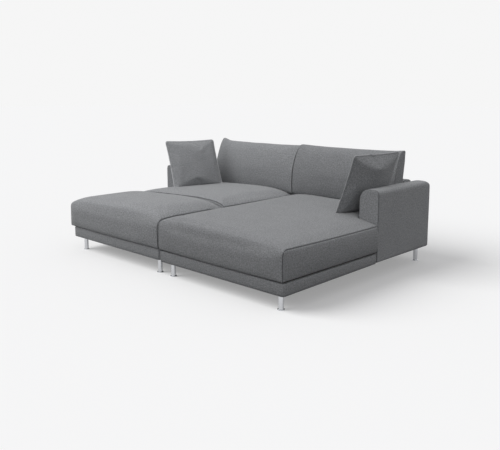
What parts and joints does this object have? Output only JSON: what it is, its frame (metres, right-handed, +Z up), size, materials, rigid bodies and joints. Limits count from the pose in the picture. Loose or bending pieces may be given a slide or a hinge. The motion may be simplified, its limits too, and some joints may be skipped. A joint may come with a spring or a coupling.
{
  "type": "modular sofa with chaise",
  "caption": "Low modular sofa with a chaise, free-standing ottoman, loose seat and back cushions, two throw pillows, padded arms and short round metal legs.",
  "frame": {"origin": "on the floor under the middle of the whole sofa's plan rectangle", "axes": "+Z up; the sofa faces -Y; +X is to the right of someone who looks at its front, on the chaise's side"},
  "size_m": [2.35, 1.75, 0.8728],
  "materials": {
    "upholstery": "matte",
    "foam": "matte",
    "fibre_filling": "matte",
    "timber": "matte",
    "webbing": "matte",
    "felt": "matte",
    "black_cloth": "matte",
    "chrome": "polished",
    "steel": "satin"
  },
  "bodies": {
    "chaise_unit": {"chaise_arm_frame": "timber", "chaise_arm_padding": "upholstery", "chaise_back_frame": "timber", "chaise_back_padding": "upholstery", "chaise_base_border": "upholstery", "chaise_corner_blocks": "timber", "chaise_cross_rails": "timber", "chaise_deck_pad": "felt", "chaise_dust_cover": "black_cloth", "chaise_foot_discs": "chrome", "chaise_frame_bolts": "steel", "chaise_frame_rails": "timber", "chaise_leg_plates": "steel", "chaise_leg_tubes": "chrome", "chaise_webbing": "webbing", "chaise_wood_screws": "steel", "connector_receivers": "steel"},
    "seat_unit": {"connector_tongues": "steel", "left_arm_frame": "timber", "left_arm_padding": "upholstery", "left_back_frame": "timber", "left_back_padding": "upholstery", "left_base_border": "upholstery", "left_corner_blocks": "timber", "left_cross_rails": "timber", "left_deck_pad": "felt", "left_dust_cover": "black_cloth", "left_foot_discs": "chrome", "left_frame_bolts": "steel", "left_frame_rails": "timber", "left_leg_plates": "steel", "left_leg_tubes": "chrome", "left_webbing": "webbing", "left_wood_screws": "steel"},
    "ottoman_unit": {"ottoman_base_border": "upholstery", "ottoman_corner_blocks": "timber", "ottoman_cross_rails": "timber", "ottoman_deck_pad": "felt", "ottoman_dust_cover": "black_cloth", "ottoman_foot_discs": "chrome", "ottoman_frame_rails": "timber", "ottoman_leg_plates": "steel", "ottoman_leg_tubes": "chrome", "ottoman_webbing": "webbing", "ottoman_wood_screws": "steel"},
    "chaise_seat": {"chaise_seat_core": "foam", "chaise_seat_cover": "upholstery"},
    "left_seat": {"left_seat_core": "foam", "left_seat_cover": "upholstery"},
    "ottoman_seat": {"ottoman_seat_core": "foam", "ottoman_seat_cover": "upholstery"},
    "right_back_cushion": {"chaise_back_cushion_core": "foam", "chaise_back_cushion_cover": "upholstery"},
    "left_back_cushion": {"left_back_cushion_core": "foam", "left_back_cushion_cover": "upholstery"},
    "right_pillow": {"right_pillow_cover": "upholstery", "right_pillow_filling": "fibre_filling"},
    "left_pillow": {"left_pillow_cover": "upholstery", "left_pillow_filling": "fibre_filling"}
  },
  "joints": [
    {"name": "seat_unit_pull", "type": "slide", "parent": "chaise_unit", "child": "seat_unit", "axis": [-1, 0, 0], "range_m": [0, 0.3]},
    {"name": "ottoman_pull", "type": "slide", "parent": "chaise_unit", "child": "ottoman_unit", "axis": [0, -1, 0], "range_m": [0, 0.5]},
    {"name": "chaise_seat_lift", "type": "slide", "parent": "chaise_unit", "child": "chaise_seat", "axis": [0, 0, 1], "range_m": [0, 0.45]},
    {"name": "left_seat_lift", "type": "slide", "parent": "seat_unit", "child": "left_seat", "axis": [0, 0, 1], "range_m": [0, 0.45]},
    {"name": "ottoman_seat_lift", "type": "slide", "parent": "ottoman_unit", "child": "ottoman_seat", "axis": [0, 0, 1], "range_m": [0, 0.3]},
    {"name": "right_back_cushion_lift", "type": "slide", "parent": "chaise_seat", "child": "right_back_cushion", "axis": [0, 0, 1], "range_m": [0, 0.25]},
    {"name": "left_back_cushion_lift", "type": "slide", "parent": "left_seat", "child": "left_back_cushion", "axis": [0, 0, 1], "range_m": [0, 0.25]},
    {"name": "right_pillow_lift", "type": "slide", "parent": "chaise_seat", "child": "right_pillow", "axis": [0, 0, 1], "range_m": [0, 0.25]},
    {"name": "left_pillow_lift", "type": "slide", "parent": "left_seat", "child": "left_pillow", "axis": [0, 0, 1], "range_m": [0, 0.25]}
  ]
}
